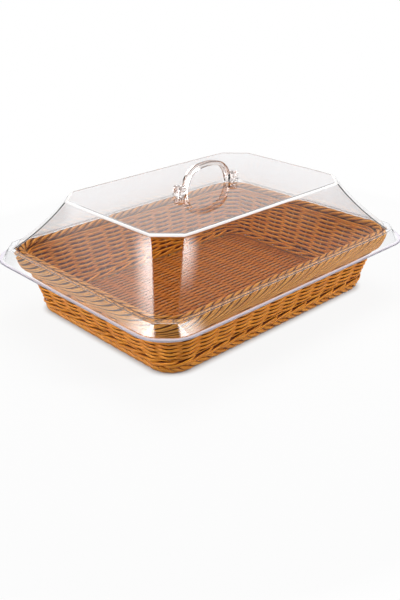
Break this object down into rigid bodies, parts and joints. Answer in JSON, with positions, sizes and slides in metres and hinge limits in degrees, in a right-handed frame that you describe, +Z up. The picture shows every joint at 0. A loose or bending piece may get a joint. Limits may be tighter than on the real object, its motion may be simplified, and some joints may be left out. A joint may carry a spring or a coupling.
{
  "type": "lidded bread basket",
  "caption": "Rectangular woven basket with flared walls, rope rim and wire frame, under a clear faceted lift-off cover with a screwed arch handle.",
  "frame": {"origin": "middle of the footprint, on the table under the foot border", "axes": "+X along the long side and along the handle, +Y across the basket, +Z up"},
  "size_m": [0.4362, 0.3322, 0.1788],
  "materials": {
    "frame_wire": "satin brown coating on welded steel wire",
    "floor_strand": "satin strand with fine lengthwise grain",
    "border_strand": "satin strand with fine lengthwise grain",
    "wall_strand": "satin strand with fine lengthwise grain",
    "rim_strand": "satin strand with fine lengthwise grain",
    "clear_cover": "polished clear",
    "clear_handle": "polished clear",
    "screw_steel": "plated",
    "washer_nylon": "smooth, translucent"
  },
  "bodies": {
    "basket": {"stake_frame": "frame_wire", "floor_weave": "floor_strand", "foot_border": "border_strand", "wale_lower": "wall_strand", "wale_upper": "wall_strand", "weave_row_01": "wall_strand", "weave_row_02": "wall_strand", "weave_row_03": "wall_strand", "weave_row_04": "wall_strand", "weave_row_05": "wall_strand", "weave_row_06": "wall_strand", "weave_row_07": "wall_strand", "weave_row_08": "wall_strand", "weave_row_09": "wall_strand", "weave_row_10": "wall_strand", "weave_row_11": "wall_strand", "weave_row_12": "wall_strand", "weave_row_13": "wall_strand", "weave_row_14": "wall_strand", "weave_row_15": "wall_strand", "weave_row_16": "wall_strand", "weave_row_17": "wall_strand", "weave_row_18": "wall_strand", "rim_rope": "rim_strand", "rim_band": "rim_strand"},
    "lid": {"cover": "clear_cover", "handle": "clear_handle", "handle_screw_left": "screw_steel", "handle_screw_right": "screw_steel", "handle_washer_left": "washer_nylon", "handle_washer_right": "washer_nylon"}
  },
  "joints": [
    {"name": "lid_lift", "type": "slide", "parent": "basket", "child": "lid", "axis": [0, 0, 1], "range_m": [0, 0.2]}
  ]
}
